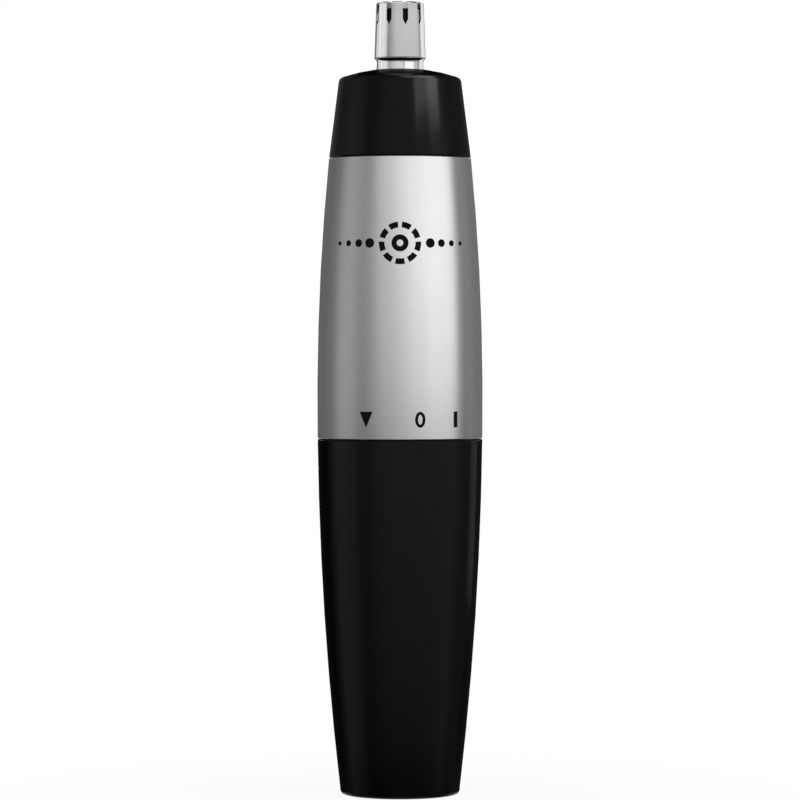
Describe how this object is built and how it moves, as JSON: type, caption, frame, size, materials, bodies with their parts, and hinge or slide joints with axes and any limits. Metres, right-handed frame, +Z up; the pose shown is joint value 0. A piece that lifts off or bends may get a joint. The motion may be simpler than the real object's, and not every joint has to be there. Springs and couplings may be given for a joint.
{
  "type": "nose hair trimmer",
  "caption": "Upright cordless grooming trimmer: twist-off battery housing, silver motor barrel, black nose collar and a slotted rotary cutting head.",
  "frame": {"origin": "centre of the flat foot of the battery housing", "axes": "+Z up along the barrel towards the cutting head, -Y towards the front face with the switch marks, +X to the right"},
  "size_m": [0.0276, 0.0276, 0.1319],
  "materials": {
    "black_gloss": "polished moulded",
    "black_matte": "plain moulded",
    "silver": "satin silver lacquer",
    "chrome": "polished plating",
    "steel": "plain",
    "blade": "ground",
    "brass": "stamped",
    "copper": "enamelled copper",
    "magnet": "pressed powder",
    "rubber": "smooth",
    "ivory": "plain moulded",
    "red_insulation": "extruded sleeve",
    "wrapper": "printed shrink sleeve",
    "fibre": "pressed fibre"
  },
  "bodies": {
    "battery_housing": {"battery_housing": "black_gloss", "contact_strip": "steel", "battery_spring": "steel"},
    "battery": {"battery_can": "steel", "battery_core": "magnet", "battery_base": "steel", "battery_wrapper": "wrapper", "battery_cap": "steel", "battery_insulator": "fibre"},
    "housing_seal": {"housing_seal": "rubber"},
    "upper_body": {"bayonet_stub": "black_matte", "motor_frame": "black_matte", "barrel_sleeve": "silver", "nose_collar": "black_gloss", "drive_bushing": "brass", "contact_carrier": "ivory", "positive_contact": "brass", "contact_rivet": "brass", "switch_contact": "brass", "positive_wire": "red_insulation", "negative_wire": "rubber", "motor_can": "steel", "motor_end_cap": "ivory", "motor_bearing_front": "brass", "motor_bearing_rear": "brass", "motor_terminal_positive": "brass", "motor_terminal_negative": "brass", "motor_magnet_front": "magnet", "motor_magnet_rear": "magnet", "motor_brush_left": "copper", "motor_brush_right": "copper"},
    "drive": {"motor_shaft": "steel", "armature_core": "steel", "armature_winding_1": "copper", "armature_winding_2": "copper", "armature_winding_3": "copper", "commutator": "copper", "drive_shaft": "ivory"},
    "head_seal": {"head_seal": "rubber"},
    "head": {"head_base": "chrome", "outer_cutter": "chrome", "spindle_bush": "ivory"},
    "cutter": {"spindle_clip": "steel", "cutter_carrier": "black_matte", "inner_cutter": "blade", "blade_spring": "steel"}
  },
  "joints": [
    {"name": "body_lift", "type": "slide", "parent": "battery_housing", "child": "housing_seal", "axis": [0, 0, 1], "range_m": [0, 0.07]},
    {"name": "switch_twist", "type": "hinge", "parent": "housing_seal", "child": "upper_body", "pos_m": [0, 0, 0.0592], "axis": [0, 0, 1], "range_deg": [-27.6, 37.9]},
    {"name": "battery_lift", "type": "slide", "parent": "battery_housing", "child": "battery", "axis": [0, 0, 1], "range_m": [0, 0.056]},
    {"name": "motor_spin", "type": "hinge", "parent": "upper_body", "child": "drive", "pos_m": [0, 0, 0.08], "axis": [0, 0, 1], "continuous": true},
    {"name": "head_twist", "type": "hinge", "parent": "upper_body", "child": "head_seal", "pos_m": [0, 0, 0.118], "axis": [0, 0, 1], "range_deg": [0, 40]},
    {"name": "head_lift", "type": "slide", "parent": "head_seal", "child": "head", "axis": [0, 0, 1], "range_m": [0, 0.02]},
    {"name": "cutter_spin", "type": "hinge", "parent": "head", "child": "cutter", "pos_m": [0, 0, 0.12], "axis": [0, 0, 1], "continuous": true}
  ],
  "couplings": [
    {"joint": "battery_lift", "follows": "body_lift", "ratio": 0.8},
    {"joint": "cutter_spin", "follows": "motor_spin", "ratio": 1}
  ]
}
